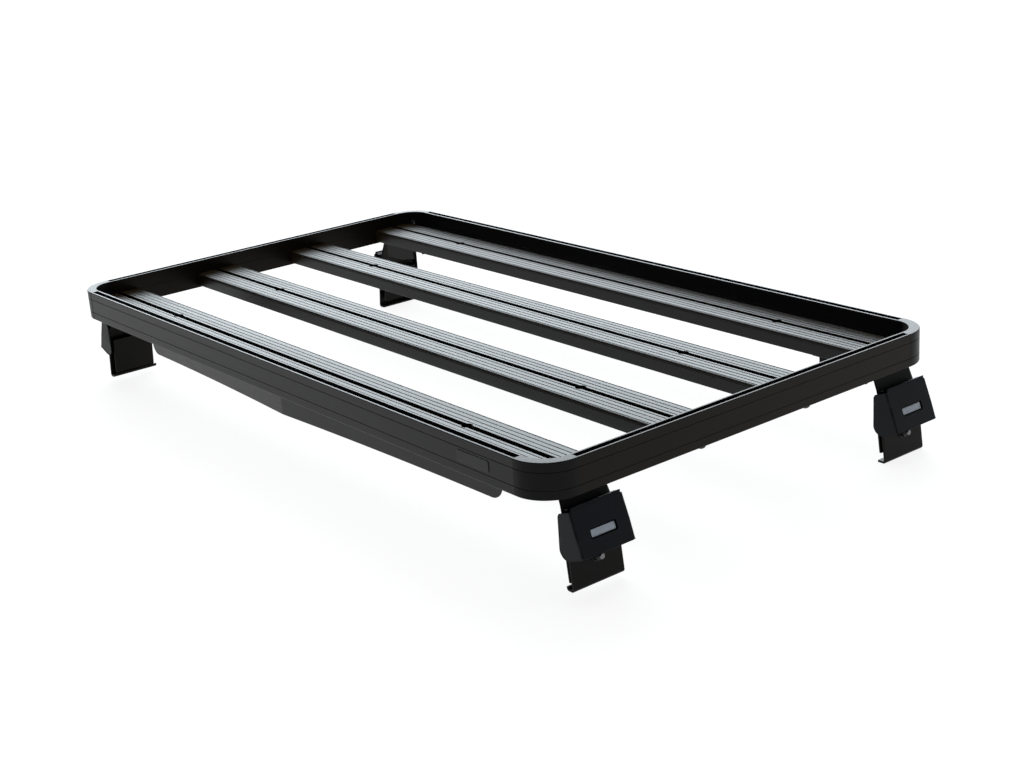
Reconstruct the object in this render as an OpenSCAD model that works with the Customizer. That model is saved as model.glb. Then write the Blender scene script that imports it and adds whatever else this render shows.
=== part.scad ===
// Flat platform roof rack on four gutter feet
// X runs along the slats, -Y is the front, Z is up
// The origin is under the middle of the rack, level with the rear soles

/* [Tray] */
// Overall width across the side rails
rack_w = 1306; // [1100:1:1500]
// Spacing of the slats, centre to centre
slat_pitch = 202; // [190:1:260]
// Centre of an end slat to the outer face of the end rail
slat_margin = 71; // [66:1:90]
// Height of the rack from the rear soles to the top of the rails
rack_h = 186; // [180:1:230]

/* [Rails] */
// Height of the rail section
rail_h = 50; // [48:1:58]
// Thickness of the rail section
rail_t = 16; // [15:0.5:20]
// Wall of the rail section
rail_wall = 2; // [1.5:0.1:2.4]
// Outer radius of the corner castings
corner_r = 54; // [48:1:70]
// Straight part at each end of a corner casting
corner_stub = 4; // [2:1:8]
// Depth of the upper groove line below the rail top
groove_up = 13; // [12:0.5:16]
// Height of the lower groove line above the rail bottom
groove_low = 13; // [12:0.5:16]
// Width of the groove lines
groove_w = 1.2; // [0.6:0.1:2]
// Depth of the groove lines
groove_d = 0.7; // [0.3:0.1:1]

/* [Slots] */
// Mouth of the bolt slots
slot_mouth = 8.4; // [8.2:0.1:9.5]
// Thickness of the lips beside a slot mouth
slot_lip = 2.2; // [1.5:0.1:3]
// Height of the slot behind its lips
slot_deep = 6.6; // [5.5:0.1:7]
// Width of the slot behind its lips in a slat
slot_wide = 14; // [13.5:0.5:16]

/* [Slats] */
// Width of a slat
slat_w = 82; // [74:1:90]
// Height of a slat
slat_h = 23; // [21:0.5:26]
// Slat top below the rail top
slat_drop = 23.5; // [20:0.5:26]
// Wall of the slat section
slat_wall = 2; // [1.5:0.1:2.5]
// Grooves between the ribs, on each side of the slot
rib_gaps = 4; // [3:1:4]
// Middle of the first of these grooves beside the middle of the slot
rib_first = 9.9; // [9:0.1:11]
// Spacing of these grooves
rib_pitch = 8.9; // [8:0.1:9.2]
// Depth of these grooves
rib_deep = 1; // [0.4:0.1:1.2]
// Width of these grooves
rib_gap = 2.2; // [1.2:0.1:3]
// Radius of the slat shoulders
slat_round = 3; // [2:0.5:4]
// Bolt entry holes, distance from the end of the slat
entry_in = 229; // [150:0.5:300]
// Bolt entry holes, diameter
entry_d = 16; // [14.5:0.5:18]
// Clearance between the end slats and the corner castings
corner_clear = 0.3; // [0.2:0.1:1]

/* [Wind deflector] */
// End of the deflector, in from the side of the rack
defl_in = 159; // [150:1:240]
// Thickness of the deflector sheet
defl_t = 2; // [1.5:0.1:3]
// Crease of the deflector behind the front face of the rack
defl_set = 22; // [18:1:30]
// Sweep of its ends behind the crease
defl_sweep = 34; // [28:1:44]
// Lower edge at the crease, below the rail top
defl_low = 92.2; // [85:0.1:100]
// How much lower the ends reach
defl_fall = 12.6; // [8:0.1:18]
// Bow of each half of the lower edge
defl_rise = 2.2; // [0:0.1:4]
// Radius of the lower corners at its ends
defl_corner = 20.5; // [12:0.5:24]
// Clearance between the deflector and the slat above it
defl_clear = 1; // [0.5:0.1:3]
// Thickness of the deflector's brackets
bracket_t = 3; // [2:0.1:4]
// Width of the deflector's brackets
bracket_w = 30; // [20:1:36]
// Height of the deflector's brackets
bracket_h = 30; // [20:1:32]

/* [Legs] */
// Outer faces of the hooks beyond the side rails
hook_out = 0; // [-4:0.5:8]
// Middle of a front foot behind the first slat's middle
front_foot_shift = 10; // [0:1:14]
// Middle of a rear foot behind the last slat's middle
rear_foot_shift = 4; // [0:1:8]
// Front soles above the rear soles
front_raise = 8; // [0:1:12]
// Width of the lower leg
leg_w = 85.6; // [80:0.1:90]
// Width of the upper leg and its base
base_w = 76; // [70:1:80]
// Thickness of the leg plate
leg_t = 3.5; // [3:0.1:4]
// Inner radius of the leg's bends
leg_bend = 1; // [0.5:0.1:1.5]
// Height of the kink in the leg above its sole
kink_h = 84; // [80:1:88]
// Lean of the upper leg
lean_up = 20; // [16:1:24]
// Lean of the lower leg
lean_low = 7; // [5:0.5:9]
// Depth of the hook under the gutter
hook_deep = 15; // [14:0.5:18]
// Height of the front hooks' lip
hook_lip = 6; // [5.5:0.5:8]
// Inboard end of the leg's base, in from the side of the rack
base_in = 143; // [130:1:160]
// Depth of the flange along the leg's base
flange_h = 40; // [25:1:44]
// Depth of that flange at its inboard end
flange_low = 32; // [15:1:40]
// Outboard end of that flange, in from the leg's upper bend
flange_back = 10; // [6:0.5:20]
// Radius of that flange's upper outboard corner
flange_round = 8; // [4:0.5:12]
// Where the leg narrows, below the cover's top edge
leg_step = 22; // [16:0.5:30]

/* [Foot covers] */
// Height of the cover's face along its slope
cover_h = 66; // [62:1:70]
// Lean of the cover's face
cover_lean = 20.6; // [16:0.2:22]
// Top edge of the front covers below the rails
cover_drop = 13.2; // [8:0.1:18]
// Cover's top edge outside the hooks' outer faces
cover_out = -0.7; // [-2:0.1:3]
// Inner edge of the cover's cheeks, in from the hooks' outer faces
cheek_in = 22; // [18:0.5:24]
// Thickness of the cover sheet
cover_t = 2; // [1.5:0.1:2.5]
// Depth of the flange along the cover's top edge
cover_flange = 12; // [4:0.5:16]
// Cut of the corners of the cover's face
cover_cut = 4; // [3:0.5:6]
// Upper inner radius of the cheeks
cheek_high = 4; // [2:0.5:6]
// Lower inner radius of the cheeks
cheek_low = 14; // [8:0.5:16]
// Width of the window in the cover
window_w = 44; // [30:1:50]
// Height of the window in the cover
window_h = 13.5; // [10:0.5:16]
// Radius of the window's corners
window_round = 2.5; // [1:0.5:4]
// Middle of the window below the cover's top edge
window_down = 39; // [36:0.5:42]
// Margin of the bare plate behind the window
plate_edge = 3; // [2:0.5:4]
// Thickness of that plate
plate_t = 1.5; // [1:0.1:2]

/* [Clamps] */
// Gap for the gutter between hook and clamp plate
gutter_gap = 8; // [7:0.5:8.5]
// Clearance of a front clamp plate above its sole
clamp_clear = 9.5; // [8:0.5:12]
// How much higher a rear clamp plate sits
clamp_raise = 4.5; // [0:0.5:6]
// Height of the clamp plate
clamp_h = 64.5; // [60:0.5:66]
// Thickness of the clamp plate
clamp_t = 3; // [2.5:0.1:3.5]
// Edges of the clamp plate in from the leg's edges
clamp_edge = 4.8; // [2:0.1:10]
// Radius of the clamp plate's upper corner towards the middle of the rack
clamp_round = 18; // [12:1:20]
// Stud above the sole, along the leg
stud_h = 38.5; // [36:0.5:42]
// Length of the stud outside the leg
stud_out = 13; // [10:0.5:16]

/* [Bolts] */
// Diameter of the bolts and studs
bolt_d = 8; // [7:0.1:8]
// Clearance of a bolt in its hole
bolt_clear = 0.6; // [0.4:0.1:1]
// Width of a nut or a square bolt head across its flats
nut_af = 13; // [12:0.5:13]
// Height of a nut
nut_h = 6.5; // [5:0.1:8]
// Height of a bolt head
head_h = 4.5; // [3.5:0.1:5]
// Thread beyond a nut under a leg's base
bolt_tail = 8; // [2:0.5:12]
// Thread beyond a nut under a bracket
bracket_tail = 2; // [1:0.5:8]
// First bolt of a leg's base, in from its inboard end
base_bolt = 25; // [20:1:35]
// Spacing of the two bolts of a leg's base
bolt_pitch = 55; // [40:1:60]
// Diameter of the round heads under the side rails
button_d = 13; // [11:0.5:15]
// Height of the round heads
button_h = 5; // [4:0.1:6]
// Corner screws below the rail top
screw_down = 21; // [18:0.5:30]
// Diameter of the corner screws' heads
screw_d = 9; // [7:0.5:11]

/* [Hidden] */
$fn = 48;

FRONT = -1;
REAR = 1;
LEFT = -1;
RIGHT = 1;
SLAT_Y = [for (i = [0:3]) (i - 1.5) * slat_pitch];
rack_l = 3 * slat_pitch + 2 * slat_margin;
slat_len = rack_w - 2 * rail_t;
slat_top = rack_h - slat_drop;
slat_under = slat_top - slat_h;
rail_under = rack_h - rail_h;
slot_end = slot_lip + slot_deep;
cover_top = rail_under - front_raise - cover_drop;
clamp_w = leg_w - 2 * clamp_edge;
corner_x = rack_w / 2 - corner_r;
corner_y = rack_l / 2 - corner_r;
bolt_hole = bolt_d + bolt_clear;

// Unit vector, a quarter turn to the left, and a list backwards
function unit(v) = v / norm(v);
function left(v) = [-v[1], v[0]];
function backwards(p) = [for (i = [len(p) - 1:-1:0]) p[i]];

// Points of the arc of radius r that rounds the corner b of the path a-b-c
function corner_arc(a, b, c, r, n) =
  let (u = unit(a - b), v = unit(c - b), half = acos(u * v) / 2,
       q = b + unit(u + v) * (r / sin(half)), w = b + u * (r / tan(half)) - q,
       turn = (u[0] * v[1] - u[1] * v[0] > 0 ? -1 : 1) * (180 - 2 * half))
  [for (i = [0:n]) let (c = cos(turn * i / n), s = sin(turn * i / n))
    q + [w[0] * c - w[1] * s, w[0] * s + w[1] * c]];

// A path with its inner corners rounded
function rounded(p, r, n = 5) =
  [p[0], for (i = [1:len(p) - 2]) each corner_arc(p[i - 1], p[i], p[i + 1], r, n), p[len(p) - 1]];

// The path moved to its left by d, with mitred corners
function beside(p, d) =
  let (last = len(p) - 1, n = [for (i = [0:last - 1]) left(unit(p[i + 1] - p[i]))])
  [for (i = [0:last])
    i == 0 ? p[0] + n[0] * d :
    i == last ? p[last] + n[last - 1] * d :
    p[i] + (n[i - 1] + n[i]) * d / (1 + n[i - 1] * n[i])];

// Outline of a bent sheet of thickness t on the right of its face's path
function sheet(p, t) = concat(p, backwards(beside(p, -t)));

// A polygon in X and Z with a width along Y
module slab_xz(points, w) {
  rotate([90, 0, 0]) linear_extrude(height = w, center = true) polygon(points);
}

// A rectangle with rounded corners, centred
module round_rect(w, h, r) {
  square([w - 2 * r, h], center = true);
  square([w, h - 2 * r], center = true);
  for (x = [-1, 1], y = [-1, 1]) translate([x * (w / 2 - r), y * (h / 2 - r)]) circle(r = r);
}

// A bolt slot seen end on, its mouth at the origin and its depth below
module slot_2d(wide) {
  translate([-slot_mouth / 2, -slot_lip - 1]) square([slot_mouth, slot_lip + 2]);
  translate([-wide / 2, -slot_end]) square([wide, slot_deep]);
}

// The two groove lines of an outer face at zero
module grooves_2d() {
  for (z = [-groove_up, groove_low - rail_h])
    translate([-1, z - groove_w / 2]) square([groove_d + 1, groove_w]);
}

// The rail section, its outer face at zero and its top at zero
module rail_2d() {
  cell = rail_t - 2 * rail_wall;
  core = rail_h - 2 * (slot_end + rail_wall);
  difference() {
    translate([0, -rail_h]) square([rail_t, rail_h]);
    translate([rail_t / 2, 0]) slot_2d(cell);
    translate([rail_t / 2, -rail_h]) mirror([0, 1]) slot_2d(cell);
    translate([rail_wall, (-rail_h - core) / 2]) square([cell, core]);
    translate([rail_t - groove_d, -slat_drop - groove_w]) square([groove_d + 1, groove_w]);
    grooves_2d();
  }
}

// A rail of the given length, turned so that its outer face lies at the given distance
module rail(len, away, turn) {
  color("#202124")
  rotate([0, 0, turn]) translate([-len / 2, -away, rack_h])
  rotate([90, 0, 90]) linear_extrude(height = len) rail_2d();
}

module end_rail(y) {
  rail(2 * (corner_x - corner_stub), rack_l / 2, y == FRONT ? 0 : 180);
}

module side_rail(x) {
  rail(2 * (corner_y - corner_stub), rack_w / 2, x * 90);
}

// The section of a corner casting at its radius, with the rails' groove lines
module corner_2d() {
  translate([corner_r, 0]) mirror([1, 0]) difference() {
    translate([0, -rail_h]) square([rail_t, rail_h]);
    grooves_2d();
  }
}

// A corner casting: a quarter ring with a straight part at each end
module corner(x, y) {
  color("#26272a")
  translate([x * corner_x, y * corner_y, rack_h])
  rotate([0, 0, y == REAR ? (x == RIGHT ? 0 : 90) : (x == RIGHT ? -90 : 180)]) {
    rotate_extrude(angle = 90, $fn = 128) corner_2d();
    rotate([90, 0, 0]) linear_extrude(height = corner_stub) corner_2d();
    rotate([90, 0, 90]) translate([0, 0, -corner_stub]) linear_extrude(height = corner_stub) corner_2d();
  }
}

// The slat section, centred on its top
module slat_2d() {
  half = slat_w / 2;
  cell_start = slot_wide / 2 + slat_wall;
  cell_w = half - slat_wall - cell_start;
  difference() {
    union() {
      translate([-half, -slat_h]) square([slat_w, slat_h - slat_round]);
      translate([slat_round - half, -slat_h]) square([slat_w - 2 * slat_round, slat_h]);
      for (s = [-1, 1]) translate([s * (half - slat_round), -slat_round]) circle(r = slat_round);
    }
    slot_2d(slot_wide);
    translate([0, -slat_h]) mirror([0, 1]) slot_2d(slot_wide);
    for (s = [-1, 1]) {
      // Hollow cell beside the slots
      translate([s * (cell_start + cell_w / 2), -slat_h / 2])
        square([cell_w, slat_h - 2 * slat_wall - 2 * rib_deep], center = true);
      // Grooves between the ribs
      for (i = [0:rib_gaps - 1])
        translate([s * (rib_first + i * rib_pitch), 0]) square([rib_gap, 2 * rib_deep], center = true);
      // Line under the shoulder
      translate([s * half, -slat_round - groove_w]) square([2 * groove_d, groove_w], center = true);
    }
  }
}

// Room for a corner casting at the end of an end slat
module corner_room(x, y) {
  room = 2 * corner_r;
  translate([x * corner_x, y * corner_y, slat_under - 1]) difference() {
    translate([x > 0 ? 0 : -room, y > 0 ? 0 : -room, 0]) cube([room, room, slat_h + 2]);
    cylinder(h = 3 * slat_h, r = corner_r - rail_t - corner_clear, center = true, $fn = 128);
  }
}

module slat(i) {
  entry_x = slat_len / 2 - entry_in;
  color("#2a2c30") difference() {
    translate([-slat_len / 2, SLAT_Y[i], slat_top])
      rotate([90, 0, 90]) linear_extrude(height = slat_len) slat_2d();
    for (x = [-entry_x, entry_x])
      translate([x, SLAT_Y[i], slat_top - slot_end]) cylinder(h = slot_end + 1, d = entry_d);
    if (i == 0) for (x = [LEFT, RIGHT]) corner_room(x, FRONT);
    if (i == 3) for (x = [LEFT, RIGHT]) corner_room(x, REAR);
  }
}

// A square-headed bolt in a slot whose mouth is at the origin, clamping a plate and a nut below
module slot_bolt(plate, tail) {
  color("#3a3b3d") {
    translate([-nut_af / 2, -nut_af / 2, slot_lip]) cube([nut_af, nut_af, head_h]);
    translate([0, 0, -plate - nut_h - tail]) cylinder(h = plate + nut_h + tail + slot_lip + 1, d = bolt_d);
    translate([0, 0, -plate - nut_h]) cylinder(h = nut_h, d = nut_af / cos(30), $fn = 6);
  }
}

// Plan and lower edge of the deflector, from 0 at the crease to 1 at the ends
DEFL_STEPS = 10;
defl_half = rack_w / 2 - defl_in;
function defl_y(t) = -rack_l / 2 + defl_set + defl_sweep * t;
function defl_z(t) = rack_h - defl_low - defl_fall * t + 4 * defl_rise * t * (1 - t);
DEFL_EDGE = [for (i = [1 - DEFL_STEPS:DEFL_STEPS - 1])
  let (t = i / DEFL_STEPS) [t * defl_half, defl_z(abs(t))]];

module wind_deflector() {
  low = defl_z(1);
  top = slat_under - defl_clear;
  plan = [[-defl_half, defl_y(1)], [0, defl_y(0)], [defl_half, defl_y(1)]];
  color("#26272a") intersection() {
    translate([0, 0, low]) linear_extrude(height = top - low)
      polygon(concat(plan, [for (p = backwards(plan)) p + [0, defl_t]]));
    slab_xz(concat(
      corner_arc([-defl_half, top], [-defl_half, low], DEFL_EDGE[0], defl_corner, 8),
      DEFL_EDGE,
      corner_arc(DEFL_EDGE[len(DEFL_EDGE) - 1], [defl_half, low], [defl_half, top], defl_corner, 8),
      [[defl_half, top], [-defl_half, top]]), 2 * rack_l);
  }
}

// Places a bracket behind the deflector at the share t of its half, its face towards -Y
BRACKET_AT = [-0.85, -0.35, 0.35, 0.85];
module at_bracket(t) {
  translate([t * defl_half, defl_y(abs(t)) + defl_t, slat_under])
  rotate([0, 0, sign(t) * atan2(defl_sweep, defl_half)]) children();
}
function bracket_reach(t) = SLAT_Y[0] - defl_y(abs(t)) - defl_t;

module deflector_brackets() {
  color("#1c1d1f") for (t = BRACKET_AT) at_bracket(t) difference() {
    union() {
      translate([-bracket_w / 2, 0, -bracket_t]) cube([bracket_w, bracket_reach(t) + nut_af, bracket_t]);
      translate([-bracket_w / 2, 0, -bracket_h]) cube([bracket_w, bracket_t, bracket_h]);
    }
    translate([0, bracket_reach(t), -bracket_t - 1]) cylinder(h = bracket_t + 2, d = bolt_hole);
  }
}

module deflector_bolts() {
  for (t = BRACKET_AT) at_bracket(t) translate([0, bracket_reach(t), 0]) slot_bolt(bracket_t, bracket_tail);
}

// How far a foot's middle lies behind the middle of its slat
function foot_shift(y) = y == FRONT ? front_foot_shift : rear_foot_shift;

// Places a foot's pieces: X outward, Y backwards, Z up from its sole
module at_foot(x, y) {
  translate([0, SLAT_Y[y == FRONT ? 0 : 3] + foot_shift(y), y == FRONT ? front_raise : 0])
    mirror([x == LEFT ? 1 : 0, 0, 0]) children();
}

// Places pieces on the lower leg: Z up along its outer face, X outward from that face
module on_leg() {
  translate([hook_x, 0, 0]) rotate([0, -lean_low, 0]) children();
}

hook_x = rack_w / 2 + hook_out;
base_x = rack_w / 2 - base_in;
kink_x = hook_x - kink_h * tan(lean_low);
// The slats' underside above a foot's sole
function under(y) = slat_under - (y == FRONT ? front_raise : 0);
function leg_top_x(y) = kink_x - (under(y) - kink_h) * tan(lean_up);

function leg_path(y) = rounded([
  [base_x, under(y)],
  [leg_top_x(y), under(y)],
  [kink_x, kink_h],
  [hook_x, 0],
  [hook_x - hook_deep, 0],
  if (y == FRONT) [hook_x - hook_deep, hook_lip]], leg_bend + leg_t);

module leg(x, y) {
  inner = -y;
  flange_end = leg_top_x(y) - flange_back;
  color("#1c1d1f") at_foot(x, y) difference() {
    union() {
      slab_xz(sheet(leg_path(y), leg_t), leg_w);
      // Flange along the base, towards the middle of the rack
      translate([0, inner * (base_w - leg_t) / 2, 0]) slab_xz(concat(
        [[base_x, under(y)],
        [base_x, under(y) - flange_low],
        [(base_x + flange_end) / 2, under(y) - flange_h],
        [flange_end, under(y) - flange_h]],
        corner_arc(
          [flange_end, under(y) - flange_h],
          [flange_end, under(y) - leg_t],
          [base_x, under(y) - leg_t], flange_round, 6),
        [[flange_end - flange_round, under(y)]]), leg_t);
    }
    // The upper leg is narrower than the lower leg
    for (s = [-1, 1])
      translate([base_x - 1, s > 0 ? base_w / 2 : -base_w / 2 - leg_w, cover_top - leg_step])
        cube([2 * base_in, leg_w, rack_h]);
    for (i = [0, 1])
      translate([base_x + base_bolt + i * bolt_pitch, -foot_shift(y), under(y) - leg_t - 1])
        cylinder(h = leg_t + 2, d = bolt_hole);
    on_leg() translate([-leg_t - 1, 0, stud_h]) rotate([0, 90, 0]) cylinder(h = leg_t + 2, d = bolt_hole);
  }
}

module leg_bolts() {
  for (x = [LEFT, RIGHT], y = [FRONT, REAR], i = [0, 1])
    at_foot(x, y)
      translate([base_x + base_bolt + i * bolt_pitch, -foot_shift(y), under(y)])
        slot_bolt(leg_t, bolt_tail);
}

// The plate that closes the clamp behind the gutter, with one round corner and a top flange
module clamp(x, y) {
  back = -leg_t - gutter_gap - clamp_t;
  foot = clamp_clear + (y == REAR ? clamp_raise : 0);
  inner = -y * clamp_w / 2;
  flange_w = clamp_w - clamp_round;
  color("#202124") at_foot(x, y) on_leg() {
    translate([back, 0, foot]) rotate([90, 0, 90]) linear_extrude(height = clamp_t)
      polygon(concat(
        [[-inner, 0], [inner, 0]],
        corner_arc([inner, 0], [inner, clamp_h], [-inner, clamp_h], clamp_round, 8),
        [[-inner, clamp_h]]));
    translate([back, (y * clamp_round - flange_w) / 2, foot + clamp_h - clamp_t])
      cube([gutter_gap + clamp_t, flange_w, clamp_t]);
  }
}

// The stud on the clamp plate's face that draws it to the leg, and its nut
module stud(x, y) {
  inside = leg_t + gutter_gap;
  color("#b9bbbd") at_foot(x, y) on_leg() translate([0, 0, stud_h]) rotate([0, 90, 0]) {
    translate([0, 0, -inside]) cylinder(h = inside + stud_out, d = bolt_d);
    cylinder(h = nut_h, d = nut_af / cos(30), $fn = 6);
  }
}

// The bent cover over a foot
module cover(x, y) {
  wide = leg_w + 2 * cover_t;
  top = [hook_x + cover_out, cover_top];
  down = [sin(cover_lean), -cos(cover_lean)];
  inward = [-cos(cover_lean), -sin(cover_lean)];
  half = wide / 2;
  cheek_x = hook_x - cheek_in;
  head = top + down * cover_cut;
  tail = top + down * cover_h;
  head_in = head + inward * (head[0] - cheek_x) / cos(cover_lean);
  tail_in = tail + inward * (tail[0] - cheek_x) / cos(cover_lean);
  color("#232427") at_foot(x, y) {
    translate([top[0], 0, top[1]]) rotate([0, -cover_lean, 0]) {
      // The face with its window
      translate([-cover_t, 0, 0]) rotate([90, 0, 90]) linear_extrude(height = cover_t) difference() {
        polygon([
          [cover_cut - half, 0], [half - cover_cut, 0],
          [half, -cover_cut], [half, cover_cut - cover_h],
          [half - cover_cut, -cover_h], [cover_cut - half, -cover_h],
          [-half, cover_cut - cover_h], [-half, -cover_cut]]);
        translate([0, -window_down]) round_rect(window_w, window_h, window_round);
      }
      // The flange along its top
      translate([-cover_flange, cover_cut - half, -cover_t])
        cube([cover_flange, wide - 2 * cover_cut, cover_t]);
    }
    // The two cheeks
    for (s = [-1, 1]) translate([0, s * (half - cover_t / 2), 0]) slab_xz(concat(
      [head],
      corner_arc(head, head_in, tail_in, cheek_high, 4),
      corner_arc(head_in, tail_in, tail, cheek_low, 6),
      [tail]), cover_t);
  }
}

// Bare plates behind the windows of the covers
module foot_badges() {
  color("#4a4c50") for (x = [LEFT, RIGHT], y = [FRONT, REAR]) at_foot(x, y)
    translate([hook_x + cover_out, 0, cover_top]) rotate([0, -cover_lean, 0])
      translate([-cover_t - plate_t, -window_w / 2 - plate_edge, -window_down - window_h / 2 - plate_edge])
        cube([plate_t, window_w + 2 * plate_edge, window_h + 2 * plate_edge]);
}

// Round-headed bolts under the side rails, at the two middle slats
module rail_bolts() {
  color("#3a3b3d") for (x = [LEFT, RIGHT], y = [SLAT_Y[1], SLAT_Y[2]])
    translate([x * (rack_w - rail_t) / 2, y, rail_under]) {
      translate([0, 0, -button_h]) cylinder(h = button_h, d = button_d);
      cylinder(h = slot_lip + 1, d = bolt_d);
      translate([-(rail_t - 2 * rail_wall) / 2, -nut_af / 2, slot_lip])
        cube([rail_t - 2 * rail_wall, nut_af, head_h]);
    }
}

// Pan-headed screws inside the corner castings, their rims on the curved wall
module corner_screws() {
  wall_r = corner_r - rail_t;
  rim = sqrt(wall_r * wall_r - screw_d * screw_d / 4);
  color("#55575a") for (x = [LEFT, RIGHT], y = [FRONT, REAR])
    translate([x * corner_x, y * corner_y, rack_h - screw_down])
      rotate([0, 90, atan2(y, x)]) translate([0, 0, rim - screw_d / 4])
        cylinder(h = screw_d / 4, d = screw_d);
}

end_rail(FRONT);  // front_rail
end_rail(REAR);  // rear_rail
side_rail(LEFT);  // left_rail
side_rail(RIGHT);  // right_rail
corner(LEFT, FRONT);  // front_left_corner
corner(RIGHT, FRONT);  // front_right_corner
corner(LEFT, REAR);  // rear_left_corner
corner(RIGHT, REAR);  // rear_right_corner
slat(0);  // slat_1
slat(1);  // slat_2
slat(2);  // slat_3
slat(3);  // slat_4
wind_deflector();
deflector_brackets();
deflector_bolts();
leg(LEFT, FRONT);  // front_left_leg
leg(RIGHT, FRONT);  // front_right_leg
leg(LEFT, REAR);  // rear_left_leg
leg(RIGHT, REAR);  // rear_right_leg
clamp(LEFT, FRONT);  // front_left_clamp
clamp(RIGHT, FRONT);  // front_right_clamp
clamp(LEFT, REAR);  // rear_left_clamp
clamp(RIGHT, REAR);  // rear_right_clamp
cover(LEFT, FRONT);  // front_left_cover
cover(RIGHT, FRONT);  // front_right_cover
cover(LEFT, REAR);  // rear_left_cover
cover(RIGHT, REAR);  // rear_right_cover
stud(LEFT, FRONT);  // front_left_stud
stud(RIGHT, FRONT);  // front_right_stud
stud(LEFT, REAR);  // rear_left_stud
stud(RIGHT, REAR);  // rear_right_stud
leg_bolts();
rail_bolts();
corner_screws();
foot_badges();
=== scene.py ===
import math

import bpy
import numpy as np
from mathutils import Matrix


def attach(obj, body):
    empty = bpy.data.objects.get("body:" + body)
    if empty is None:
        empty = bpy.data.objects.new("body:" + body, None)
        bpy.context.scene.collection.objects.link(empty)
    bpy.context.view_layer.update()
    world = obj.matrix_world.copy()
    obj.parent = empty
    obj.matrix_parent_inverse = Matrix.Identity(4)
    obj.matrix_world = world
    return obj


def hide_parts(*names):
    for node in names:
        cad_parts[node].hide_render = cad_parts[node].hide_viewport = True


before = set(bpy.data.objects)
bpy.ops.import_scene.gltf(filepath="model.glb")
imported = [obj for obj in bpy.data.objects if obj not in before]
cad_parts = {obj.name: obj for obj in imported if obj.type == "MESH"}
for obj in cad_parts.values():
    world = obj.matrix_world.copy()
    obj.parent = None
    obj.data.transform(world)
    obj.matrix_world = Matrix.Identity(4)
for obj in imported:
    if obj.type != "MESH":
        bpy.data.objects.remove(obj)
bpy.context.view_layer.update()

# Every outline below is in millimetres, as the rack was drawn; meshes are in metres
mm = 0.001
slack = 0.01   # allowance where lengths are compared
rack = {"width": 1306, "length": 748, "top": 186, "cornerRadius": 54, "cornerReach": 58, "slats": 4,
        "slatPitch": 202}
slatRows = (np.arange(rack["slats"]) - (rack["slats"] - 1) / 2) * rack["slatPitch"]
halfWidth, halfLength = rack["width"] / 2, rack["length"] / 2
cornerX, cornerY = halfWidth - rack["cornerRadius"], halfLength - rack["cornerRadius"]
railX, railY = halfWidth - rack["cornerReach"], halfLength - rack["cornerReach"]
# Each corner's side in X and in Y, and how the names of its pieces and of its nodes start
corners = [(sx, sy, end + side.capitalize(), f"{end}_{side}")
           for sy, end in ((-1, "front"), (1, "rear")) for sx, side in ((-1, "left"), (1, "right"))]


# Outlines and surfaces

def roundLoop(points, radii, steps=4):
    # Closed outline with rounded corners. At a corner b, with unit vectors u and v to its neighbours and
    # half the angle between them h, the arc's centre is b + r / sin(h) along u + v, and its points are
    # centre + r * (cos a, sin a), with a running from the one tangent point to the other.
    p = np.asarray(points, float)
    r = np.broadcast_to(np.asarray(radii, float), len(p))[:, None]
    u = np.roll(p, 1, 0) - p
    v = np.roll(p, -1, 0) - p
    u /= np.linalg.norm(u, axis=1, keepdims=True)
    v /= np.linalg.norm(v, axis=1, keepdims=True)
    h = np.arccos(np.clip((u * v).sum(1, keepdims=True), -1, 1)) / 2
    middle = (u + v) / np.linalg.norm(u + v, axis=1, keepdims=True)
    centre = p + middle * r / np.sin(h)
    first = p + u * r / np.tan(h) - centre
    last = p + v * r / np.tan(h) - centre
    a = np.arctan2(first[:, 1], first[:, 0])
    turn = (np.arctan2(last[:, 1], last[:, 0]) - a + np.pi) % (2 * np.pi) - np.pi
    angle = a[:, None] + turn[:, None] * np.linspace(0, 1, steps + 1)
    arcs = centre[:, None] + r[:, None] * np.stack([np.cos(angle), np.sin(angle)], -1)
    return arcs.reshape(-1, 2)


def boxLoop(x0, x1, y0, y1, radii, steps=4):
    # A rectangle from x0 to x1 and from y0 to y1, with rounded corners.
    return roundLoop([[x0, y0], [x1, y0], [x1, y1], [x0, y1]], radii, steps)


def loopNormals(loop):
    # Unit normals of a closed outline, on the right of its direction: each is square to the chord
    # between the two neighbouring points.
    chord = np.roll(loop, -1, 0) - np.roll(loop, 1, 0)
    normal = np.stack([chord[:, 1], -chord[:, 0]], -1)
    return normal / np.maximum(np.linalg.norm(normal, axis=1, keepdims=True), 1e-9)


def outward(loop):
    # The outline turned so that its right-hand normals point out, which is the anticlockwise way round:
    # its area, half the sum of x(i) * y(i+1) - x(i+1) * y(i), is then positive.
    nxt = np.roll(loop, -1, 0)
    area = (loop[:, 0] * nxt[:, 1] - nxt[:, 0] * loop[:, 1]).sum()
    return loop if area > 0 else loop[::-1]


def softEnds(loop, low, high, edge, steps=2):
    # Rows of an extrusion from low to high with rounded ends. At an end, for a from 0 to a quarter turn,
    # the row lies edge * (1 - cos a) from the end and is drawn in by edge * (1 - sin a).
    loop = outward(loop)
    a = np.linspace(0, np.pi / 2, steps + 1)
    drawIn, back = edge * (1 - np.sin(a)), edge * (1 - np.cos(a))
    along = np.concatenate([low + back, high - back[::-1]])
    inset = np.concatenate([drawIn, drawIn[::-1]])
    return loop[None] - loopNormals(loop)[None] * inset[:, None, None], along


def extrude(loop, low, high, edge, axes="xzy"):
    # The loop's two directions and the length direction, sorted to X, Y and Z.
    rows, along = softEnds(loop, low, high, edge)
    parts = {axes[0]: rows[..., 0], axes[1]: rows[..., 1],
             axes[2]: np.broadcast_to(along[:, None], rows.shape[:2])}
    return np.stack([parts["x"], parts["y"], parts["z"]], -1)


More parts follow.
